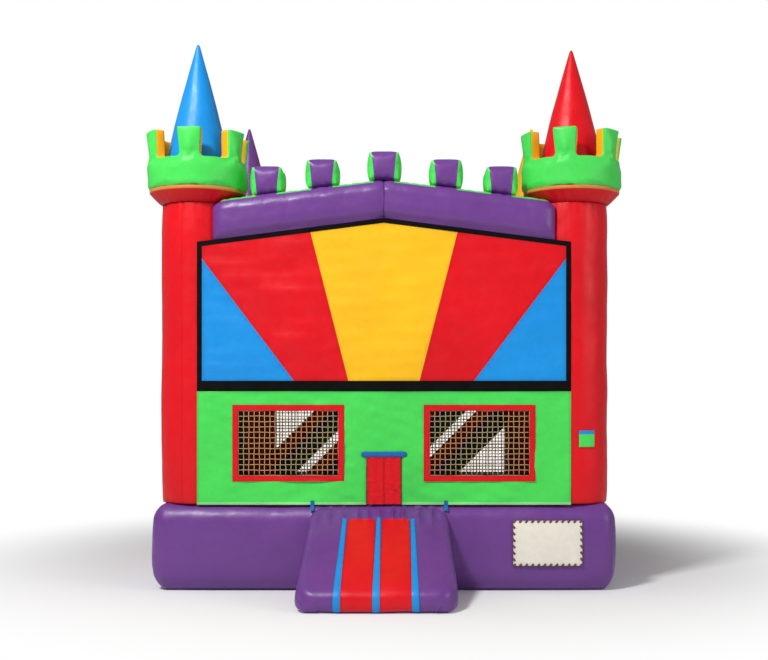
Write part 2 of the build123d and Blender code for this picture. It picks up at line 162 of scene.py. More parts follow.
def material(name, colour, rough, cell, bump, rough_span=0.2, dirt_and_shade=0.25, specular=0.5, metallic=0,
             weave=1.0, second=None):
    """A coated cloth: mottled colour, seams and creases darkened with dirt and painted shade, uneven gloss, a
    fine weave and soft dents. Where a mesh's tone attribute is over zero it takes the second colour."""
    look = bpy.data.materials.new(name)
    look.use_nodes = True
    tree = look.node_tree
    where = add_node(tree, "TexCoord").outputs["Object"]

    def noise(scale, detail):
        return add_node(tree, "TexNoise", {"Vector": where, "Scale": scale, "Detail": detail}).outputs["Fac"]

    def spread(value, low, high, start=0.3, end=0.7):
        inputs = {"Value": value, "From Min": start, "From Max": end, "To Min": low, "To Max": high}
        return add_node(tree, "MapRange", inputs).outputs["Result"]

    def mix(a, b, factor, blend):
        inputs = {"Factor": factor, "A": a, "B": b}
        return add_node(tree, "Mix", inputs, data_type="RGBA", blend_type=blend).outputs["Result"]

    def attribute(title):
        return add_node(tree, "Attribute", attribute_name=title).outputs["Fac"]

    if second:
        colour = mix(colour, second, spread(attribute("tone"), 0, 1, -0.001, 0.001), "MIX")
    colour = mix(colour, (0.86, 0.87, 0.9, 1), spread(noise(1.7, 3), 0, 1), "MULTIPLY")
    colour = mix(colour, (0.88, 0.88, 0.88, 1), spread(noise(23, 5), 0, 0.5), "MULTIPLY")
    # painted shade and dirt: darker where the seam attribute marks seams and creases
    colour = mix(colour, (1 - dirt_and_shade, 1 - dirt_and_shade, 1 - dirt_and_shade * 0.9, 1), attribute("seam"), "MULTIPLY")
    inputs = {"Vector": where, "Scale": 1 / cell, "Mortar Size": 0.2, "Mortar Smooth": 1}
    threads = add_node(tree, "TexBrick", inputs, offset=0.5).outputs["Fac"]
    cloth = add_node(tree, "Bump", {"Strength": weave, "Distance": 0.0003, "Height": threads})
    dents = add_node(tree, "Bump", {"Strength": 0.6, "Distance": bump, "Height": noise(6.5, 2),
                                    "Normal": cloth.outputs["Normal"]})
    set_inputs(tree, tree.nodes["Principled BSDF"], {
        "Base Color": colour,
        "Roughness": spread(noise(9, 4), rough, rough + rough_span),
        "Specular IOR Level": specular,
        "Metallic": metallic,
        "Normal": dents.outputs["Normal"],
    })
    return look


def vinyl(name, dye, rough, gloss, bump=0.008, second=None):
    return material(name, dye, rough, 0.0025, bump, rough_span=0.16, specular=gloss, weave=0.35,
                    second=second)


purple_dye = linear(110, 60, 140)
red_dye = linear(224, 12, 26)
green_dye = linear(74, 222, 88)
purple = vinyl("purple vinyl", purple_dye, 0.30, 0.42, 0.010)
red = vinyl("red vinyl", red_dye, 0.32, 0.26)
green = vinyl("green vinyl", green_dye, 0.36, 0.30)
yellow = vinyl("yellow vinyl", linear(254, 192, 26), 0.38, 0.26, 0.007)
blue = vinyl("blue vinyl", linear(22, 146, 224), 0.34, 0.28)
deep_blue = vinyl("deep blue vinyl", linear(24, 104, 176), 0.40, 0.30, 0.004)
wall_vinyl = vinyl("green vinyl with a pale hem", green_dye, 0.36, 0.30,
                   second=linear(150, 236, 146))
crown_vinyl = vinyl("green vinyl lined orange", green_dye, 0.36, 0.34,
                    second=linear(252, 176, 16))
collar_vinyl = vinyl("red vinyl edged orange", red_dye, 0.32, 0.26, second=linear(214, 138, 66))
arch_vinyl = vinyl("purple vinyl edged green", purple_dye, 0.30, 0.42, 0.010, green_dye)
band_vinyl = vinyl("purple vinyl edged teal", linear(62, 44, 134), 0.34, 0.28,
                   second=linear(4, 96, 92))
tape = material("hook and loop", linear(9, 9, 9), 0.75, 0.0018, 0.002, specular=0.12)
window_cord = material("pale net cord", linear(206, 176, 116), 0.6, 0.0008, 0.001)
wall_cord = material("dark net cord", linear(14, 40, 34), 0.6, 0.0008, 0.001)
webbing = material("webbing", linear(24, 92, 176), 0.62, 0.0016, 0.001)
patch_cloth = material("patch cloth", linear(240, 234, 218), 0.6, 0.0012, 0.003, weave=0.8)
thread = material("stitching thread", linear(112, 72, 34), 0.6, 0.0012, 0.001)
steel = material("ring steel", linear(176, 178, 182), 0.26, 0.003, 0.001, dirt_and_shade=0.5, metallic=1,
                 weave=0.35)


# ---- building pieces
def put(name, mesh, look, nodes=(), body="structure"):
    """Adds a mesh as a smooth piece on a body, in place of CAD nodes."""
    piece = bpy.data.objects.new(name, mesh)
    scene.collection.objects.link(piece)
    mesh.materials.append(look)
    mesh.polygons.foreach_set("use_smooth", [True] * len(mesh.polygons))
    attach(piece, body)
    if nodes:
        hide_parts(*nodes)
    return piece


def put_padded(name, mesh, look, *nodes, fill=1):
    put(name, mesh, look, nodes)


def joined(name, meshes):
    """One mesh from several."""
    bm = bmesh.new()
    for mesh in meshes:
        bm.from_mesh(mesh)
    whole = bpy.data.meshes.new(name)
    bm.to_mesh(whole)
    bm.free()
    return whole


def lattice(name, at, closed=False, seam=None, cap=False):
    """A mesh over a grid of points (nu, nv, 3). closed joins the v ends, cap fills the first and last row."""
    nu, nv = at.shape[:2]
    index = np.arange(nu * nv).reshape(nu, nv)
    rows = np.hstack([index, index[:, :1]]) if closed else index
    quads = np.stack([rows[:-1, :-1], rows[1:, :-1], rows[1:, 1:], rows[:-1, 1:]], axis=-1).reshape(-1, 4)
    faces = quads.tolist()
    if cap:
        faces += [index[0].tolist(), index[-1][::-1].tolist()]
    mesh = bpy.data.meshes.new(name)
    mesh.from_pydata(at.reshape(-1, 3).tolist(), [], faces)
    if seam is not None:
        mark(mesh, seam)
    bm = bmesh.new()
    bm.from_mesh(mesh)
    bmesh.ops.recalc_face_normals(bm, faces=bm.faces)
    bm.to_mesh(mesh)
    bm.free()
    return mesh


def mark(mesh, seam):
    """Marks the seams and creases, which the material darkens with dirt and painted shade, with 0 to 1 at
    each vertex.
    """
    layer = mesh.attributes.new("seam", "FLOAT", "POINT")
    layer.data.foreach_set("value", np.clip(np.ravel(seam), 0, 1).astype(np.float32))


def tone(mesh, past):
    """Marks where a two-tone vinyl changes colour: past is metres past the border at each vertex."""
    layer = mesh.attributes.new("tone", "FLOAT", "POINT")
    layer.data.foreach_set("value", np.asarray(past, np.float32))


def read_vertices(mesh, kind):
    values = np.empty(len(mesh.vertices) * 3)
    mesh.vertices.foreach_get(kind, values)
    return values.reshape(-1, 3)


def coordinates(mesh):
    return read_vertices(mesh, "co")


def place(mesh, co):
    mesh.vertices.foreach_set("co", co.ravel())
    mesh.update()


def flat_grid(node, axis, step, front=True):
    """A flat CAD piece's front face as a fine grid, cut along its own outline, and its area."""
    bm = bmesh.new()
    bm.from_mesh(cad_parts[node].data)
    bmesh.ops.remove_doubles(bm, verts=bm.verts, dist=1e-5)
    low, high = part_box(node)
    face_at = low[axis] if front else high[axis]
    away = [f for f in bm.faces if any(abs(v.co[axis] - face_at) > 2e-4 for v in f.verts)]
    bmesh.ops.delete(bm, geom=away, context="FACES")
    bmesh.ops.dissolve_limit(bm, angle_limit=0.01, verts=bm.verts, edges=bm.edges)
    area = sum(f.calc_area() for f in bm.faces)
    for other in {0, 1, 2} - {axis}:
        count = max(int((high[other] - low[other]) / step), 1)
        for k in range(1, count):
            at, way = Vector((0, 0, 0)), Vector((0, 0, 0))
            at[other] = low[other] + (high[other] - low[other]) * k / count
            way[other] = 1
            whole = bm.verts[:] + bm.edges[:] + bm.faces[:]
            bmesh.ops.bisect_plane(bm, geom=whole, dist=1e-5, plane_co=at, plane_no=way)
    mesh = bpy.data.meshes.new(node)
    bm.to_mesh(mesh)
    bm.free()
    return mesh, area


def edge_distance(mesh):
    """For each vertex, how far it is from the mesh's open edge."""
    bm = bmesh.new()
    bm.from_mesh(mesh)
    rim = np.array([v.co[:] for v in bm.verts if any(e.is_boundary for e in v.link_edges)])
    bm.free()
    co = coordinates(mesh)
    gap = np.full(len(co), 1e3)
    for start in range(0, len(rim), 200):
        part = rim[start : start + 200]
        gap = np.minimum(gap, np.linalg.norm(co[:, None] - part[None], axis=2).min(axis=1))
    return gap


def vinyl_sheet(name, node, look, step, bend, seam=0.008, dirt_and_shade=1, axis=1, front=True):
    """A flat vinyl piece over its CAD sheet. From points and their distance to the edge, bend gives how far
    they move along -axis."""
    mesh, area = flat_grid(node, axis, step, front)
    gap = edge_distance(mesh)
    # darker along the sheet's edges: dirt and painted shade
    mark(mesh, fade(gap, seam) * dirt_and_shade)
    co = coordinates(mesh)
    co[:, axis] -= bend(co, gap)
    place(mesh, co)
    piece = put(name, mesh, look, [node])
    return piece


def bars(name, ends, thick, wide, segments=1, wobble=0.0, seed=0):
    """Thin four-sided threads from start to end points: ends is a list of (start, end, width direction)."""
    verts, faces = [], []
    for k, (a, b, side) in enumerate(ends):
        a, b, side = np.array(a, float), np.array(b, float), np.array(side, float)
        along = (b - a) / np.linalg.norm(b - a)
        up = np.cross(along, side)
        first = len(verts)
        for s in range(segments + 1):
            p = a + (b - a) * s / segments
            if 0 < s < segments:
                p = p + side * wobble * math.sin(seed + 2.1 * k + 5.3 * s)
            for i, j in ((-1, -1), (1, -1), (1, 1), (-1, 1)):
                verts.append((p + side * i * wide / 2 + up * j * thick / 2).tolist())
        for s in range(segments):
            r = first + 4 * s
            faces += [[r + i, r + (i + 1) % 4, r + 4 + (i + 1) % 4, r + 4 + i] for i in range(4)]
        last = first + 4 * segments
        faces += [[first + 3, first + 2, first + 1, first], [last, last + 1, last + 2, last + 3]]
    mesh = bpy.data.meshes.new(name)
    mesh.from_pydata(verts, [], faces)
    return mesh


# ---- inflating by cloth simulation
def final(piece):
    """The mesh that a piece's modifiers give."""
    shown = piece.evaluated_get(bpy.context.evaluated_depsgraph_get())
    return bpy.data.meshes.new_from_object(shown)


def outer_shell(node):
    """A CAD node's outer surface as a mesh, without the inner side of its wall."""
    bm = bmesh.new()
    bm.from_mesh(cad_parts[node].data)
    bmesh.ops.remove_doubles(bm, verts=bm.verts, dist=1e-5)
    left, islands = set(bm.verts), []
    for v in bm.verts[:]:
        if v not in left:
            continue
        left.discard(v)
        stack, island = [v], []
        while stack:
            u = stack.pop()
            island.append(u)
            for e in u.link_edges:
                o = e.other_vert(u)
                if o in left:
                    left.discard(o)
                    stack.append(o)
        islands.append(island)
    islands.sort(key=lambda i: np.ptp(np.array([v.co[:] for v in i]), axis=0).sum())
    bmesh.ops.delete(bm, geom=[v for i in islands[:-1] for v in i], context="VERTS")
    mesh = bpy.data.meshes.new(node)
    bm.to_mesh(mesh)
    bm.free()
    return mesh


def inflated(node, voxel, shrink, pressure, cap, polish):
    """A CAD form blown up as cloth: remeshed, drawn in a little, put under pressure, and smoothed."""
    stiffness, frames = 15, 20
    work = bpy.data.objects.new("work", outer_shell(node))
    scene.collection.objects.link(work)
    again = work.modifiers.new("remesh", "REMESH")
    again.mode = "VOXEL"
    again.voxel_size = voxel
    mesh = final(work)
    work.modifiers.clear()
    work.data = mesh
    start = coordinates(mesh) - read_vertices(mesh, "normal") * shrink
    place(mesh, start)
    cloth = work.modifiers.new("cloth", "CLOTH")
    settings = cloth.settings
    settings.quality = 5
    settings.mass = 0.3
    settings.use_pressure = True
    settings.uniform_pressure_force = pressure
    settings.tension_stiffness = stiffness
    settings.compression_stiffness = stiffness
    settings.shear_stiffness = stiffness / 3
    settings.bending_stiffness = 0.1
    settings.effector_weights.gravity = 0
    cloth.point_cache.frame_start = 1
    cloth.point_cache.frame_end = frames
    for f in range(1, frames + 1):
        scene.frame_set(f)
    moved = coordinates(final(work)) - start
    work.modifiers.clear()
    scene.frame_set(1)
    moved -= moved.mean(axis=0)
    far = np.linalg.norm(moved, axis=1)
    capped = cap * np.tanh(far / cap)
    place(mesh, start + moved * (capped / np.maximum(far, 1e-9))[:, None])
    even = work.modifiers.new("even", "SMOOTH")
    even.factor = 0.5
    even.iterations = polish
    out = final(work)
    bpy.data.objects.remove(work)
    return out


def turned(mesh, name, about, to, angle=0.0, mirror=False):
    """A copy of a mesh, moved from one place to another and turned about +Z."""
    copy = mesh.copy()
    copy.name = name
    co = coordinates(copy) - np.array(about)
    if mirror:
        co[:, 0] *= -1
        copy.flip_normals()
    c, s = math.cos(angle), math.sin(angle)
    co = np.stack([c * co[:, 0] - s * co[:, 1], s * co[:, 0] + c * co[:, 1], co[:, 2]], axis=1)
    place(copy, co + np.array(to))
    return copy


# ---- base tubes
base_round = 0.15  # radius of the base's corners seen from above
edge_round = 0.13
tab_place, tab_size = abs(centre("anchor_ring_front_left").y), size("anchor_ring_front_left").y
tabs_low, tabs_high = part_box("anchor_tabs")


def base_pull(along, height):
    """How far the base's outer face stands in from its CAD plane: it swells most in the middle."""
    h = height / base_top * 2 - 1
    a = np.abs(along) / half
    return 0.034 * np.abs(h) ** 2.5 + 0.028 * np.clip(-h, 0, 1) ** 3 + 0.020 * a**6


def tab_hold(along, height):
    """1 where an anchor tab is sewn to a side of the base and keeps its vinyl out, 0 away from it."""
    beside = np.abs(np.abs(along) - tab_place) - tab_size / 2
    above = np.abs(height - (tabs_low.z + tabs_high.z) / 2) - (tabs_high.z - tabs_low.z) / 2
    return np.exp(-((beside.clip(0) ** 2 + above.clip(0) ** 2) / 0.08**2))


def round_corner(p):
    """Bends the square corners of the base round, as seen from above."""
    u = base_round - (half - np.abs(p[..., 0]))
    v = base_round - (half - np.abs(p[..., 1]))
    near = (u > 0) & (v > 0)
    scale = np.where(near, np.maximum(u, v) / np.maximum(np.hypot(u, v), 1e-9), 1)
    out = p.copy()
    for axis, past in ((0, u), (1, v)):
        bent = np.sign(p[..., axis]) * (half - base_round + past * scale)
        out[..., axis] = np.where(near, bent, p[..., axis])
    return out


def tube_section(count):
    """A base tube's section as (depth in from the outer face, height), round at its edges."""
    out = []
    r, w, h = edge_round, tube_width, base_top
    for cx, cz, start in ((r, h - r, 180), (w - r, h - r, 90), (w - r, r, 0), (r, r, -90)):
        for k in range(9):
            a = math.radians(start - 90 * k / 8)
            out.append((cx + r * math.cos(a), cz + r * math.sin(a)))
    out.append(out[0])
    out = np.array(out)
    run = np.concatenate([[0], np.cumsum(np.linalg.norm(np.diff(out, axis=0), axis=1))])
    at = np.linspace(0, run[-1], count, endpoint=False)
    return np.interp(at, run, out[:, 0])[None, :], np.interp(at, run, out[:, 1])[None, :]


def ramp_gathers(x):
    """The gathers that the ramp's ties pull up, x metres from the ramp's middle line."""
    return gathers(x, 0.105, 271)


def base_tube(side, turn, seed):
    depth, height = tube_section(110)
    t = np.linspace(-1, 1, 200)
    t = (np.sign(t) * (1 - (1 - np.abs(t)) ** 1.15))[:, None]
    outer = np.clip(1 - depth / (edge_round * 1.1), 0, 1)
    loose = 1 - tab_hold(t * half, height) if side in ("left", "right") else 1
    inset = depth + base_pull(t * half, height) * outer * loose
    reach = half - inset
    x = t * reach
    p = points(x, -half + inset, height)
    end_gap = (reach - np.abs(x)).clip(0)  # to the mitre, where two tubes are sewn together
    fold = gathers(height * 1.3 + depth, 0.105, seed) * fade(end_gap, 0.10) * 0.006
    top_gap = (base_top - height).clip(0) + np.abs(depth - edge_round * 1.5) * 0.8
    top = gathers(x, 0.16, seed + 5) * fade(top_gap, 0.09) * 0.013
    if side == "front":
        tied = np.clip((0.60 - np.abs(x - ramp_mid)) / 0.05, 0, 1) * np.clip(height / 0.3 - 1, 0, 1)
        top = top - ramp_gathers(x - ramp_mid) * tied * fade(np.abs(depth - 0.05), 0.08) * 0.026
    soft = waves(p, 0.8, seed + 2) * 0.006 + waves(p, 0.24, seed + 3) * 0.0014
    grounded = np.clip(height / 0.12, 0, 1)
    dip = (fold + top + soft + 0.002) * grounded * np.clip(end_gap / 0.05, 0, 1) * loose
    outward = np.where(depth < tube_width / 2, -1.0, 1.0)
    upward = np.clip((height - base_top + edge_round) / edge_round, 0, 1) * 1.5
    out = points(0 * x, outward, upward)
    out /= np.linalg.norm(out, axis=-1)[..., None]
    p -= out * dip[..., None]
    p = round_corner(p)
    # darker at the mitres and along the ground through the seam attribute: dirt and painted shade
    seam = 0.35 * fade(end_gap, 0.006) + 0.5 * fade(height, 0.03)
    c, s = math.cos(turn), math.sin(turn)
    p = points(c * p[..., 0] - s * p[..., 1], s * p[..., 0] + c * p[..., 1], p[..., 2])
    mesh = lattice(f"base_{side}", p, closed=True, seam=seam, cap=True)
    put_padded(f"base_{side}_skin", mesh, purple, f"base_tube_{side}")


for side, quarter, seed in (("front", 0, 11), ("right", 1, 23), ("rear", 2, 37), ("left", 3, 41)):
    base_tube(side, quarter * math.pi / 2, seed)


# ---- bounce floor, in blown-up channels
def bounce_floor():
    low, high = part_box("bounce_floor")
    X, Y = grid(np.linspace(low.x, high.x, 60), np.linspace(low.y, high.y, 190))
    channel = (high.y - low.y) / 8
    crease = np.abs(np.sin(math.pi * (Y - low.y) / channel)) ** 0.6
    rim = np.minimum(np.minimum(X - low.x, high.x - X), np.minimum(Y - low.y, high.y - Y))
    lift = crease * 0.035 - 0.030 + gathers(X, 0.11, 5) * fade(crease * 0.2, 0.05) * -0.006
    top = points(X, Y, high.z + lift - 0.03 * fade(rim, 0.04))
    # painted shade and dirt: the channels' creases are darkened through the seam attribute
    mesh = lattice("floor_skin", top, seam=fade(crease, 0.12))
    bm = bmesh.new()
    bm.from_mesh(mesh)
    bmesh.ops.extrude_face_region(bm, geom=bm.faces[:])
    bm.verts.ensure_lookup_table()
    for v in bm.verts[X.size :]:
        v.co.z = low.z + 0.004
    bmesh.ops.recalc_face_normals(bm, faces=bm.faces)
    bm.to_mesh(mesh)
    bm.free()
    put_padded("bounce_floor_skin", mesh, blue, "bounce_floor", "floor_baffles")


bounce_floor()


# ---- columns, collars, cones
def revolved(name, radius, heights, at, around, seam, seed):
    """A round form from radius(z, angle) about a tower's axis."""
    Z, T = grid(heights, np.linspace(0, 2 * math.pi, around, endpoint=False))
    R = radius(Z, T, seed)
    p = points(at.x + R * np.cos(T), at.y + R * np.sin(T), Z)
    return lattice(name, p, closed=True, seam=seam(Z, T), cap=True)


def column_form(Z, T, seed):
    spot = points(np.cos(T) * 0.4, np.sin(T) * 0.4, Z)
    end = np.minimum(Z - base_top, column_top - Z)
    arc = T * column_radius
    gather = gathers(arc + 0.02 * Z, 2 * math.pi * column_radius / 22, seed) * fade(end, 0.09) * 0.010
    gore = np.abs(np.sin(T * 2 + 0.6)) ** 0.35
    soft = waves(spot, 0.55, seed + 1) * 0.004 + waves(spot, 0.16, seed + 2) * 0.0011
    belly = 0.010 * fade(end, 0.10)
    return column_radius + 0.004 - belly - gather - (1 - gore) * 0.004 + soft


def column_seam(Z, T):
    end = np.minimum(Z - base_top, column_top - Z)
    return fade(end, 0.02) + 0.6 * (np.abs(np.sin(T * 2 + 0.6)) < 0.03)


column_heights = np.concatenate([
    np.linspace(base_top, base_top + 0.3, 26),
    np.linspace(base_top + 0.3, column_top - 0.3, 60)[1:-1],
    np.linspace(column_top - 0.3, column_top, 26),
])
for k, corner in enumerate(corners):
    mesh = revolved(f"column_{corner}", column_form, column_heights, towers[corner], 132, column_seam,
                    60 + 7 * k)
    put_padded(f"column_{corner}_skin", mesh, red, f"column_{corner}")

collar_low, collar_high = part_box("turret_collars")


def collar_form(Z, T, seed):
    t = np.clip((Z - collar_low.z) / (collar_high.z - collar_low.z), 0, 1)
    flare = column_radius + (crown_radius - 0.020 - column_radius) * t**0.8
    return flare - gathers(T * column_radius, 0.07, seed) * 0.012 * np.sin(math.pi * t) - 0.004


def collar_seam(Z, T):
    return fade(Z - collar_low.z, 0.02)


collar_heights = np.linspace(collar_low.z, collar_high.z + 0.022, 24)
collars = joined("collars", [
    revolved("collar", collar_form, collar_heights, towers[corner], 132, collar_seam, 3 + k)
    for k, corner in enumerate(corners)
])
tone(collars, coordinates(collars)[:, 2] - collar_high.z + 0.006)
put_padded("turret_collar_skins", collars, collar_vinyl, "turret_collars")


def cone(corner, look, seed):
    low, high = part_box(f"cone_{corner}")
    foot = (high.x - low.x) / 2

    def form(Z, T, seed):
        t = (Z - low.z) / (high.z - low.z)
        line = foot + (0.012 - foot) * t
        swell = 0.022 * np.sin(math.pi * t) * (1 - 0.35 * t)
        gore = 0.006 * (1 - np.abs(np.sin(T * 3 + 0.4 + seed)) ** 0.4) * np.clip(1.2 - t, 0, 1)
        soft = waves(points(np.cos(T) * 0.3, np.sin(T) * 0.3, Z), 0.35, seed) * 0.004 * (1 - t)
        pucker = gathers(T * foot, 0.09, seed + 3) * fade(Z - low.z, 0.08) * 0.008
        tip = np.clip((high.z - Z) / 0.02, 0, 1) ** 0.5
        return (line + swell - gore + soft - pucker) * np.where(t > 0.97, tip * 0.35 + 0.65, 1)

    def seam(Z, T):
        return 0.7 * (np.abs(np.sin(T * 3 + 0.4 + seed)) < 0.045)

    rise = np.concatenate([np.linspace(0, 0.97, 70), [0.98, 0.988, 0.994, 0.998, 1.0]])
    z = low.z + (high.z - low.z) * rise
    mesh = revolved(f"cone_{corner}", form, z, towers[corner], 108, seam, seed)
    put_padded(f"cone_{corner}_skin", mesh, look, f"cone_{corner}")


for k, look in enumerate((blue, red, purple, yellow)):
    cone(corners[k], look, 80 + k)

# ---- crowns, blown up once and turned
crown = inflated("crown_front_left", voxel=0.016, shrink=0.012, pressure=3, cap=0.026, polish=3)
first = towers["front_left"]
for corner in corners:
    at = towers[corner]
    turn = math.radians(crown_turns[corner] - crown_turns["front_left"])
    mesh = turned(crown, f"crown_{corner}", (first.x, first.y, 0), (at.x, at.y, 0), turn)
    co = coordinates(mesh)
    out = co[:, :2] - np.array([at.x, at.y])
    away = np.hypot(out[:, 0], out[:, 1])
    # the merlons lean outward toward their tops
    rise = (co[:, 2] - crown_low.z - 0.10) / (crown_high.z - crown_low.z - 0.10)
    flare = 0.034 * np.clip(rise, 0, 1) * np.clip((away - 0.28) / 0.10, 0, 1)
    co[:, :2] += out / away[:, None] * flare[:, None]
    place(mesh, co)
    tone(mesh, crown_radius - 0.050 - away)
    put_padded(f"crown_{corner}_skin", mesh, crown_vinyl, f"crown_{corner}")

# ---- front arch
arch_low, arch_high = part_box("front_arch_right")
arch_apex = arch_high.z
bay = arch_high.x
column_gap_top = 0.040  # the arch's shoulder above the columns
arch_drop = arch_apex - column_top - column_gap_top  # from the apex to the shoulders
arch_thick = 0.400
arch_reach = bay + 0.130  # its soft ends lap over the columns
arch_mid_y, arch_half_depth = (arch_low.y + arch_high.y) / 2, (arch_high.y - arch_low.y) / 2
arch_merlons = ("outer_left", "inner_left", "centre", "inner_right", "outer_right")
panel_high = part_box("panel_border")[1]


def arch_top(x):
    return arch_apex - arch_drop * np.abs(x) / bay


def panel_top(x):
    rise = panel_high.z - (column_top + column_gap_top - 0.380)
    return panel_high.z - rise * np.abs(x) / panel_high.x


def arch_half(side, sign, seed):
    t = np.linspace(0, 1, 160)
    X, V = grid(arch_reach * (1 - (1 - t) ** 1.1), np.linspace(0, 2 * math.pi, 120, endpoint=False))
    cy, cz = squared_round(V, 0.34)
    left_over = arch_reach - X
    pinch = 1 - 0.09 * fade(X, 0.035) - 0.10 * fade(left_over, 0.05)
    middle_z = arch_top(X) - arch_thick / 2
    y = arch_mid_y + arch_half_depth * cy * pinch
    z = middle_z + arch_thick / 2 * cz * pinch
    # the front swells out over the panel's border, and is gathered along its top and its middle seam
    face = np.clip(-cy, 0, 1) ** 3
    over_panel, under_top = z - panel_top(X), arch_top(X) - z
    above = np.clip((over_panel - 0.01) / 0.06, 0, 1)
    y -= face * above * (0.020 + 0.024 * np.clip(under_top / 0.10, 0, 1)) * (1 - fade(left_over, 0.05))
    fold = gathers(X + 0.25 * (z - middle_z), 0.210, seed) * (0.12 + 0.7 * fade(under_top, 0.10)) * 0.011
    fold += gathers(z + 0.4 * X, 0.085, seed + 2) * fade(X, 0.07) * 0.009
    small = gathers(X, 0.074, seed + 4) * (0.4 * fade(under_top, 0.04) + fade(over_panel, 0.05)) * 0.004
    soft = waves(points(X, y, z), 0.30, seed + 7) * 0.004
    y += (fold + small + soft) * face * (0.3 + 0.7 * above)
    roof = np.clip(cz, 0, 1) ** 3
    end_round = 0.030 * np.clip(1 - left_over / 0.10, 0, 1) ** 2
    z -= roof * (gathers(X, 0.10, seed + 9) * 0.008 + 0.004 + end_round)
    # dark seam lines at the middle and the ends, and painted shade along the front's folds, through the seam
    # attribute
    seam = 0.45 * fade(X, 0.005) + 0.2 * fold / 0.012 * face + 0.6 * fade(left_over, 0.01)
    mesh = lattice(f"arch_{side}", points(sign * X, y, z), closed=True, seam=seam, cap=True)
    # green along the top, except in front of the merlons
    co = coordinates(mesh)
    beside = np.min([np.abs(co[:, 0] - centre(f"arch_merlon_{m}").x) for m in arch_merlons], axis=0)
    before = (beside < 0.085) & (co[:, 1] < centre("arch_merlon_centre").y)
    tone(mesh, co[:, 2] - arch_top(co[:, 0]) + 0.030 - before)
    put_padded(f"front_arch_{side}_skin", mesh, arch_vinyl, f"front_arch_{side}")


arch_half("left", -1, 131)
arch_half("right", 1, 137)

merlon = inflated("arch_merlon_inner_right", voxel=0.012, shrink=0.008, pressure=5, cap=0.032, polish=2)
first_low, first_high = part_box("arch_merlon_inner_right")
first_mid = (first_low + first_high) / 2
for title in arch_merlons:
    low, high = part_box(f"arch_merlon_{title}")
    mid = (low + high) / 2
    mesh = turned(merlon, f"merlon_{title}", (first_mid.x, first_mid.y, first_high.z),
                  (mid.x, mid.y, high.z), mirror=mid.x < 0)
    co = coordinates(mesh)
    aside = co[:, 0] - mid.x
    # the foot follows the slope of the arch under it
    sunk = np.clip((high.z - co[:, 2]) / (high.z - low.z), 0, 1)
    slope_now = arch_top(co[:, 0]) - arch_top(mid.x)
    slope_was = -arch_drop / bay * aside * (np.sign(mid.x) if mid.x else 1)
    co[:, 2] += sunk * (slope_now - slope_was)
    place(mesh, co)
    # purple in front, wider toward the top, and green at both sides
    up = (co[:, 2] - low.z) / (high.z - low.z)
    tone(mesh, np.abs(aside) - 0.082 - 0.024 * up)
    put_padded(f"arch_merlon_{title}_skin", mesh, arch_vinyl, f"arch_merlon_{title}")

# ---- side and rear top beams
for side, axis, seed in (("left", 1, 151), ("right", 1, 157), ("rear", 0, 163)):
    low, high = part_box(f"top_beam_{side}")
    mid = (low + high) / 2
    A, V = grid(np.linspace(low[axis], high[axis], 170), np.linspace(0, 2 * math.pi, 72, endpoint=False))
    c, s = squared_round(V, 0.55)
    end = np.minimum(A - low[axis], high[axis] - A)
    shrink = 1 - 0.07 * fade(end, 0.05) - gathers(A, 0.18, seed) * 0.022 * (0.5 + 0.5 * s) - 0.012
    shrink += waves(points(A, c * 0.2, s * 0.2), 0.5, seed + 1) * 0.012
    across = (high[1 - axis] - low[1 - axis]) / 2 * c * shrink + mid[1 - axis]
    z = mid.z + (high.z - low.z) / 2 * s * shrink
    p = points(across, A, z) if axis == 1 else points(A, across, z)
    mesh = lattice(f"beam_{side}", p, closed=True, seam=fade(end, 0.015), cap=True)
    put_padded(f"top_beam_{side}_skin", mesh, purple, f"top_beam_{side}")


# ---- front wall, windows, ray panel
def wall_ripple(co):
    """Loose vinyl, in metres out from the wall's plane."""
    soft = waves(co, 0.42, 201) * 0.008 + waves(co * np.array([1, 1, 1.8]), 0.15, 202) * 0.0034
    pull = sum(np.exp(-((co[:, 0] - t) / 0.09) ** 2) for t in tie_places)
    hang = gathers(co[:, 0], 0.07, 205) * 0.010 * pull + 0.004 * waves(co, 0.3, 203)
    return soft + fade(co[:, 2] - base_top, 0.10) * hang


def panel_ripple(co):
    """Slight wrinkles across the ray panel, mostly level ones."""
    level = co * np.array([0.35, 1, 1.5])
    return waves(level, 0.26, 211) * 0.0060 + waves(co, 0.9, 212) * 0.004 + waves(level, 0.10, 213) * 0.0026


def wall_bend(co, gap):
    return wall_ripple(co) * np.clip(gap / 0.03, 0, 1)


def frame_bend(co, gap):
    return (wall_ripple(co) + 0.002) * np.clip(gap / 0.03, 0, 1) + 0.0015


def ray_bend(co, gap):
    return panel_ripple(co) * np.clip(gap / 0.06, 0.25, 1) - 0.001


def border_bend(co, gap):
    return panel_ripple(co) * 0.4 + 0.002


wall = vinyl_sheet("front_wall_skin", "front_wall", wall_vinyl, 0.024, wall_bend)
tone(wall.data, base_top + 0.016 - coordinates(wall.data)[:, 2])
for side in ("left", "right"):
    vinyl_sheet(f"window_frame_{side}_band", f"window_frame_{side}", red, 0.0125, frame_bend)
for name, look in (("ray_blue_left", blue), ("ray_blue_right", blue), ("ray_red_left", red),
                   ("ray_red_right", red), ("ray_yellow_centre", yellow)):
    vinyl_sheet(f"{name}_skin", name, look, 0.035, ray_bend, seam=0.006, dirt_and_shade=0.8)
vinyl_sheet("panel_border_tape", "panel_border", tape, 0.03, border_bend, seam=0.004)


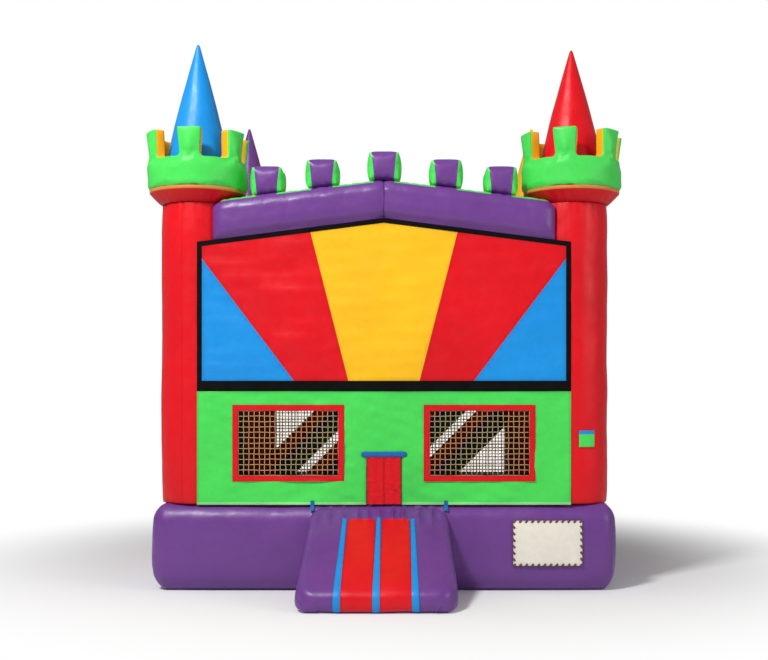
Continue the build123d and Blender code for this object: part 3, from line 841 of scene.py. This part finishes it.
# ---- door
def door_header():
    """A soft blue roll over the door."""
    low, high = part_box("door_header")
    mid, reach = (low + high) / 2, (high - low) / 2
    A, V = grid(np.linspace(low.x, high.x, 60), np.linspace(0, 2 * math.pi, 40, endpoint=False))
    c, s = squared_round(V, 0.7)
    end = np.minimum(A - low.x, high.x - A)
    roll = 1 - 0.35 * fade(end, 0.012) - gathers(A, 0.045, 221) * 0.10
    p = points(A, mid.y + reach.y * c * roll, mid.z + reach.z * s * roll)
    mesh = lattice("header", p, closed=True, seam=fade(end, 0.006), cap=True)
    put_padded("door_header_roll", mesh, deep_blue, "door_header", fill=0.7)


def door_flap(side):
    """A door flap, crumpled toward its foot, its top edge turned over into a hem."""
    low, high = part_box(f"door_flap_{side}")
    mid_y = (low.y + high.y) / 2
    lap = 0.008  # the cloth is a little wider than its hem
    left, right = (low.x - lap, high.x) if side == "left" else (low.x, high.x + lap)
    X, Z = grid(np.linspace(left, right, 36), np.linspace(low.z, high.z - 0.008, 80))
    spot = points(X, 0, Z)
    down = (high.z - Z) / (high.z - low.z)
    crumple = waves(spot * np.array([2.2, 1, 0.6]), 0.10, 231 + ord(side[0]))
    crumple += 0.6 * waves(spot, 0.05, 233 + ord(side[0]))
    y = mid_y + crumple * 0.0055 * np.clip(down * 1.6, 0, 1) + 0.002 * np.sin(X * 90)
    turn, r = np.linspace(0, 1.75 * math.pi, 12), 0.0038
    hem = points(X[:, -1:], mid_y + r * np.sin(turn), high.z - 0.004 - r * np.cos(turn))
    p = np.concatenate([points(X, y, Z), hem], axis=1)
    seam = np.concatenate([fade(np.minimum(X - left, right - X), 0.004), np.full(hem.shape[:2], 0.3)], axis=1)
    mesh = lattice(f"flap_{side}", p, seam=seam)
    flap = put(f"door_flap_{side}_skin", mesh, red, [f"door_flap_{side}"], f"{side}_door_flap")


door_header()
door_flap("left")
door_flap("right")


# ---- nets and what hangs behind them
def net(node, across, pitch, thick, look):
    """A knotted net in a CAD sheet's place: crossing cords, a little uneven."""
    low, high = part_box(node)
    mid = (low + high) / 2
    ends = []
    for spaced, along in ((across, 2), (2, across)):
        count = round((high[spaced] - low[spaced]) / pitch)
        side = [0, 0, 0]
        side[spaced] = 1
        for k in range(count + 1):
            a, b = list(mid), list(mid)
            a[spaced] = b[spaced] = low[spaced] + (high[spaced] - low[spaced]) * k / count
            a[along], b[along] = low[along], high[along]
            ends.append((a, b, side))
    mesh = bars(node, ends, thick * 0.7, thick, segments=16, wobble=0.002, seed=len(node))
    put(f"{node}_cords", mesh, look, [node])


for side in ("left", "right"):
    net(f"window_net_{side}", 0, 0.0445, 0.0050, window_cord)
    net(f"net_{side}", 1, 0.036, 0.0105, wall_cord)
net("net_rear", 0, 0.036, 0.0105, wall_cord)


def band_ripple(co):
    return waves(co, 0.4, 251) * 0.004


def band_bend(co, gap):
    return band_ripple(co) + 0.002


vinyl_sheet("rear_bands_skin", "rear_bands", red, 0.05, band_bend, seam=0.006)


def band_edges():
    """The purple and teal strips along the lower edge of each red band."""
    low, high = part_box("rear_bands")
    count, pitch = 4, 0.620
    start, change, end = 0.099, 0.190, 0.400  # level distances from a band's middle line
    first = -(count - 1) / 2 * pitch - (low.z + high.z) / 2
    U, Z = grid(np.linspace(start, end, 14), np.linspace(low.z, high.z, 44))
    bm = bmesh.new()
    for k in range(count):
        X = (k - (count - 1) / 2) * pitch + Z - (low.z + high.z) / 2 + U
        bm.from_mesh(lattice("edge", points(np.clip(X, low.x + 0.002, high.x - 0.002), low.y, Z)))
    bmesh.ops.dissolve_degenerate(bm, dist=1e-4, edges=bm.edges)
    area = sum(f.calc_area() for f in bm.faces)
    mesh = bpy.data.meshes.new("band_edges")
    bm.to_mesh(mesh)
    bm.free()
    co = coordinates(mesh)
    tone(mesh, (co[:, 0] - co[:, 2] - first) % pitch - change)
    co[:, 1] -= band_ripple(co)
    place(mesh, co)
    piece = put("rear_band_edges_skin", mesh, band_vinyl)


band_edges()


def roof_bend(co, gap):
    """How far the roof cover sags between the beams."""
    sag = 0.055 * (1 - fade(gap, 0.55)) + waves(co, 0.7, 261) * 0.008 * np.clip(gap / 0.1, 0, 1)
    return sag + gathers(co[:, 0] + co[:, 1], 0.12, 262) * fade(gap, 0.08) * 0.006


vinyl_sheet("roof_cover_skin", "roof_cover", yellow, 0.06, roof_bend, seam=0.02,
            axis=2, front=False)

# ---- ramp
ramp_front_half = (ramp_high.x - ramp_low.x) / 2
ramp_back_half = ramp_front_half - 0.0455
run = ramp_high.y - ramp_low.y
lip = 0.165
ramp_lap = 0.080  # how far the ramp's back runs into the base's soft front
shoulder_run, shoulder_z = 0.100, base_top - 0.120


def ramp_line():
    """The ramp's top from the base down to the ground, as (run out from the base, height)."""
    pts = [(-ramp_lap, base_top - 0.016), (shoulder_run, shoulder_z)]
    pts += [(run, lip), (run, 0.045), (run - 0.05, 0.0)]
    pts = np.array(pts)
    curve = [pts[0]]
    for a, b, c in zip(pts[:-2], pts[1:-1], pts[2:]):
        before, after = np.linalg.norm(b - a), np.linalg.norm(c - b)
        p = b + (a - b) / before * min(before, 0.25) * 0.48
        q = b + (c - b) / after * min(after, 0.25) * 0.48
        curve += [(1 - s) ** 2 * p + 2 * s * (1 - s) * b + s**2 * q for s in np.linspace(0, 1, 9)]
    curve.append(pts[-1])
    curve = np.array(curve)
    length = np.concatenate([[0], np.cumsum(np.linalg.norm(np.diff(curve, axis=0), axis=1))])
    return curve, length


line, line_run = ramp_line()
front_face = line[np.argmax(line[:, 0]) :][::-1]  # the lip's curve from the ground up


def line_at(s):
    """How far out and how high the ramp's line is, s metres along it."""
    return np.interp(s, line_run, line[:, 0]), np.interp(s, line_run, line[:, 1])


def ramp_half(y_out):
    return ramp_back_half + (ramp_front_half - ramp_back_half) * y_out / run


def on_ramp(s, x, stand=0.0):
    """A point at s metres along the ramp's line and x across, stand metres above its skin."""
    y_out, z = line_at(s)
    step = 0.004
    (y_after, z_after), (y_before, z_before) = line_at(s + step), line_at(s - step)
    dy, dz = y_after - y_before, z_after - z_before
    n = np.hypot(dy, dz) + 1e-9
    crown_up = -0.022 * np.abs(x / ramp_half(y_out)) ** 4
    pleat = ramp_gathers(x) * np.exp(-((s - ramp_lap - 0.060) / 0.085) ** 2) * 0.050
    soft = waves(points(x, s, 0), 0.4, 272) * 0.005
    up = stand + crown_up + pleat + soft
    return points(ramp_mid + x, -half - y_out + dz / n * up, z + dy / n * up)


def ramp_curtain(edge, sign):
    """One side of the ramp from the edge of its top: a quarter round, then down to the ground."""
    top_z = edge[:, 2]
    radius = np.minimum(0.07, top_z * 0.45)
    columns = []
    for a in np.linspace(0, math.pi / 2, 9)[1:]:
        q = edge.copy()
        q[:, 0] += sign * radius * math.sin(a)
        q[:, 2] -= radius * (1 - math.cos(a))
        columns.append(q)
    round_end = columns[-1]
    swell = np.clip(top_z / 0.4, 0.2, 1)
    for d in np.linspace(0, 1, 16)[1:]:
        q = round_end.copy()
        q[:, 2] = (top_z - radius) * (1 - d)
        tuck = 0.066 * np.clip(d * 3 - 2, 0, 1) ** 2 * np.clip(top_z / 0.3, 0.2, 1)
        q[:, 0] += sign * (0.024 * np.sin(math.pi * d) * swell - tuck)
        q[:, 1] = np.maximum(q[:, 1], -half - np.interp(q[:, 2], front_face[:, 1], front_face[:, 0]))
        columns.append(q)
    return np.stack(columns, axis=1)


def ramp_skin():
    s = np.concatenate([np.linspace(0, 0.16, 34), np.linspace(0.16, line_run[-1], 92)[1:]])
    S, T = grid(s, np.linspace(-1, 1, 200))
    y_out, _ = line_at(S)
    # the front corners close in
    to_front = np.maximum.accumulate(np.clip((y_out - (run - 0.180)) / 0.180, 0, 1), axis=0)
    wide = ramp_half(y_out) - 0.140 * (1 - np.sqrt(1 - to_front**2 * 0.97))
    p = on_ramp(S, T * (wide - 0.07))
    p = np.concatenate([ramp_curtain(p[:, 0], -1)[:, ::-1], p, ramp_curtain(p[:, -1], 1)], axis=1)
    p[..., 2] = np.maximum(p[..., 2], 0.001)
    mesh = lattice("ramp", p, seam=np.zeros(p.shape[:2]))
    bm = bmesh.new()
    bm.from_mesh(mesh)
    bmesh.ops.holes_fill(bm, edges=[e for e in bm.edges if e.is_boundary], sides=0)
    bmesh.ops.recalc_face_normals(bm, faces=bm.faces)
    bm.to_mesh(mesh)
    bm.free()
    return mesh


def strips(name, node, look, centres, width, grow, stand):
    """Vinyl strips laid down the ramp, a little crowned, with a stitched edge."""
    start, end = ramp_lap + 0.120, line_run[-1] - 0.03
    S, T = grid(np.linspace(start, end, 90), np.linspace(-1, 1, 15))
    spread = (S - start) / (end - start) - 0.5
    w = width * (1 + grow * spread)
    lift = stand + 0.003 * (1 - np.abs(T) ** 4)
    seam = fade((1 - np.abs(T)) * w / 2, 0.006)
    laid = [lattice("strip", on_ramp(S, c * (1 + 0.07 * spread) + T * w / 2, lift), seam=seam)
            for c in centres]
    piece = put(name, joined(name, laid), look, [node])


put_padded("ramp_skin", ramp_skin(), purple, "ramp")
strips("ramp_lane_skins", "ramp_lanes", red, (-0.145, 0.145), 0.240, 0.12, 0.003)
strips("ramp_rail_skins", "ramp_rails", blue, (-0.290, 0, 0.290), 0.046, 0.55, 0.006)


# ---- ties, patch, tag
def tie(x0):
    """A blue tie from the wall over the base's shoulder, with wavy edges."""
    a = np.linspace(math.radians(36), math.radians(103), 40)
    r = edge_round + 0.006
    y, z = -half + edge_round - r * np.cos(a), base_top - edge_round + r * np.sin(a)
    keep = y < wall_y - 0.004
    y, z = y[keep], z[keep]
    Y, T = grid(np.concatenate([y, np.full(8, wall_y - 0.006)]), np.linspace(-1, 1, 11))
    Z = np.concatenate([z, np.linspace(z[-1] + 0.004, ties_high.z, 8)])[:, None] + 0 * T
    puff = 0.004 * (1 - T**2) + 0.0015 * np.sin(T * 9 + Z * 60)
    p = points(x0 + T * tie_width / 2 * (1 + 0.12 * np.sin(Z * 40)), Y - puff, Z + puff * 0.5)
    return lattice("tie", p, seam=fade((1 - np.abs(T)) * tie_width / 2, 0.003))


def ramp_ties():
    piece = put("ramp_tie_straps", joined("ties", [tie(x0) for x0 in tie_places]), deep_blue, ["ramp_ties"])


def base_face_y(x, z):
    return -half + base_pull(x, z)


def care_patch():
    """A blank cloth patch on the base's front, whipped on with thick thread."""
    low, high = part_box("care_patch")
    wide, tall = high.x - low.x, high.z - low.z
    X, Z = grid(np.linspace(low.x, high.x, 60), np.linspace(low.z, high.z, 42))
    pucker = waves(points(X, 0, Z), 0.12, 281) * 0.0015
    gap = np.minimum(np.minimum(X - low.x, high.x - X), np.minimum(Z - low.z, high.z - Z))
    p = points(X, base_face_y(X, Z) - 0.010 - np.abs(pucker), Z)
    patch = put("care_patch_cloth", lattice("patch", p, seam=fade(gap, 0.01)), patch_cloth, ["care_patch"])

    pitch, reach, stand, inset = 0.050, 0.011, 0.0125, 0.006
    columns, rows = int(wide / pitch), int(tall / pitch)

    def whip(x, z, lean):
        """One slanted stitch over the patch's edge."""
        y = float(base_face_y(x, z)) - stand
        return (x - reach * lean, y, z - reach), (x + reach * lean, y, z + reach), (0, 1, 0)

    stitches = [whip(low.x + 0.010 + k * (wide - 0.020) / columns, z, 0.8)
                for k in range(columns + 1) for z in (low.z + inset, high.z - inset)]
    stitches += [whip(x, low.z + k * tall / rows, -0.8)
                 for k in range(1, rows) for x in (low.x + inset, high.x - inset)]
    put("care_patch_stitches", bars("stitches", stitches, 0.017, 0.004), thread)


def column_tag():
    """A small blank tag on the front right column, green below and blue at its top."""
    at = towers["front_right"]
    foot, tall, wide, blue_from = 1.209, 0.139, 0.142, 0.105
    turn, span = 17, 13  # degrees round from the column's front, and to each side of that
    A, Z = grid(np.radians(np.linspace(turn - span, turn + span, 16)), np.linspace(foot, foot + tall, 14))
    away = column_radius + 0.0085
    gap = np.minimum(Z - foot, foot + tall - Z)
    mesh = lattice("tag", points(at.x + away * np.sin(A), at.y - away * np.cos(A), Z), seam=fade(gap, 0.004))
    tag = put("column_tag", mesh, green)
    mesh.materials.append(blue)
    in_blue = [int(face.center.z > foot + blue_from) for face in mesh.polygons]
    mesh.polygons.foreach_set("material_index", in_blue)


ramp_ties()
care_patch()
column_tag()


# ---- blower inlet sleeve and its strap
def inlet_sleeve():
    """The limp sleeve at the rear, sinking along its length, and the strap round it."""
    low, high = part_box("inlet_sleeve")
    mid = (low + high) / 2
    radius, long = (high.x - low.x) / 2, high.y - low.y
    strap_y, strap_width = centre("sleeve_strap").y, 0.030
    turn = np.linspace(0, 2 * math.pi, 96, endpoint=False)

    def droop(y):
        """How far the sleeve sinks toward the ground along its length."""
        return 0.105 * np.clip((y - low.y - 0.08) / long, 0, 1) ** 1.6

    def tube(y, r, turn):
        sunk = droop(y)
        return points(mid.x + r * np.cos(turn), y, mid.z + r * np.sin(turn) * (1 - sunk) - sunk)

    Y, A = grid(np.linspace(low.y - 0.01, high.y, 80), turn)
    waist = np.exp(-((Y - strap_y) / 0.035) ** 2)
    deep = 0.5 + 1.0 * waist + fade(Y - low.y, 0.08)
    fold = gathers(A * radius + Y * 0.25, 0.09, 291) * deep * 0.014
    soft = waves(points(Y, np.cos(A) * 0.2, np.sin(A) * 0.2), 0.22, 292) * 0.008
    seam = fade(high.y - Y, 0.008) + fade(Y - low.y, 0.02)
    mesh = lattice("sleeve", tube(Y, radius - 0.002 - 0.012 * waist - fold + soft, A), closed=True, seam=seam)
    sleeve = put("inlet_sleeve_skin", mesh, purple, ["inlet_sleeve"])

    W, A = grid(np.linspace(-0.5, 0.5, 7), turn)
    p = tube(strap_y, radius - 0.004 + 0.003 * (1 - (2 * W) ** 2), A)
    p[..., 1] += W * strap_width
    mesh = lattice("strap", p, closed=True, seam=fade(0.5 - np.abs(W), 0.1))
    strap = put("sleeve_strap_webbing", mesh, webbing, ["sleeve_strap"])


inlet_sleeve()

# ---- CAD pieces that keep their shape
for node, look in [("anchor_tabs", webbing)] + [(f"anchor_ring_{c}", steel) for c in corners]:
    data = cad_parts[node].data
    data.materials.clear()
    data.materials.append(look)
    data.polygons.foreach_set("use_smooth", [True] * len(data.polygons))


# ---- studio
def floor_material(name, value):
    """A pale floor that, for the camera alone, turns into the white background far from the house."""
    look = bpy.data.materials.new(name)
    look.use_nodes = True
    tree = look.node_tree
    shader = tree.nodes["Principled BSDF"]
    grain = add_node(tree, "TexNoise", {"Scale": 2}).outputs["Fac"]
    inputs = {"Value": grain, "To Min": value - 0.01, "To Max": value + 0.01}
    tint = add_node(tree, "MapRange", inputs).outputs["Result"]
    set_inputs(tree, shader, {"Base Color": tint, "Roughness": 0.9, "Specular IOR Level": 0.1})
    where = add_node(tree, "TexCoord").outputs["Object"]
    far = add_node(tree, "VectorMath", {0: where}, operation="LENGTH").outputs["Value"]
    inputs = {"Value": far, "From Min": 2.3, "From Max": 5.2}
    fading = add_node(tree, "MapRange", inputs, interpolation_type="SMOOTHSTEP").outputs["Result"]
    to_camera = add_node(tree, "LightPath").outputs["Is Camera Ray"]
    seen = add_node(tree, "Math", {0: fading, 1: to_camera}, operation="MULTIPLY").outputs["Value"]
    white = add_node(tree, "Emission").outputs["Emission"]
    mix = add_node(tree, "MixShader", {"Fac": seen, 1: shader.outputs["BSDF"], 2: white})
    set_inputs(tree, tree.nodes["Material Output"], {"Surface": mix.outputs["Shader"]})
    return look


reach = 60
floor_mesh = bpy.data.meshes.new("studio_floor")
floor_corners = [(-reach, -reach, 0), (reach, -reach, 0), (reach, reach, 0), (-reach, reach, 0)]
floor_mesh.from_pydata(floor_corners, [], [(0, 1, 2, 3)])
floor_mesh.materials.append(floor_material("studio floor", 0.86))
studio = bpy.data.objects.new("studio_floor", floor_mesh)
scene.collection.objects.link(studio)
studio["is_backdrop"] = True

world = bpy.data.worlds.new("studio")
scene.world = world
world.use_nodes = True
tree = world.node_tree
back = tree.nodes["Background"]
set_inputs(tree, back, {"Color": (1, 1, 1, 1), "Strength": 0.30})
seen = add_node(tree, "Background", {"Color": (1, 1, 1, 1), "Strength": 1})
to_camera = add_node(tree, "LightPath").outputs["Is Camera Ray"]
inputs = {"Fac": to_camera, 1: back.outputs["Background"], 2: seen.outputs["Background"]}
mix = add_node(tree, "MixShader", inputs)
set_inputs(tree, tree.nodes["World Output"], {"Surface": mix.outputs["Shader"]})


def lamp(name, at, aim, span, power):
    data = bpy.data.lights.new(name, "AREA")
    data.shape = "SQUARE"
    data.size = span
    data.energy = power
    light = bpy.data.objects.new(name, data)
    light.location = at
    light.rotation_euler = (Vector(aim) - Vector(at)).to_track_quat("-Z", "Y").to_euler()
    scene.collection.objects.link(light)


lamp("key", (-4.6, -8.8, 10.0), (0, 0, 2), 1.8, 1240)
lamp("fill", (8.5, -7.0, 4.5), (0, 0, 2), 4.0, 190)

camera = bpy.data.cameras.new("camera")
camera.sensor_width = 36
camera.lens = 54
camera.shift_y = 0.073
camera.shift_x = -0.031
eye = bpy.data.objects.new("camera", camera)
eye.location = (0.20, -half - 9.6, 1.72)
eye.rotation_euler = (math.radians(90), 0, 0)
scene.collection.objects.link(eye)
scene.camera = eye
scene.view_settings.view_transform = "Standard"

low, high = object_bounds()
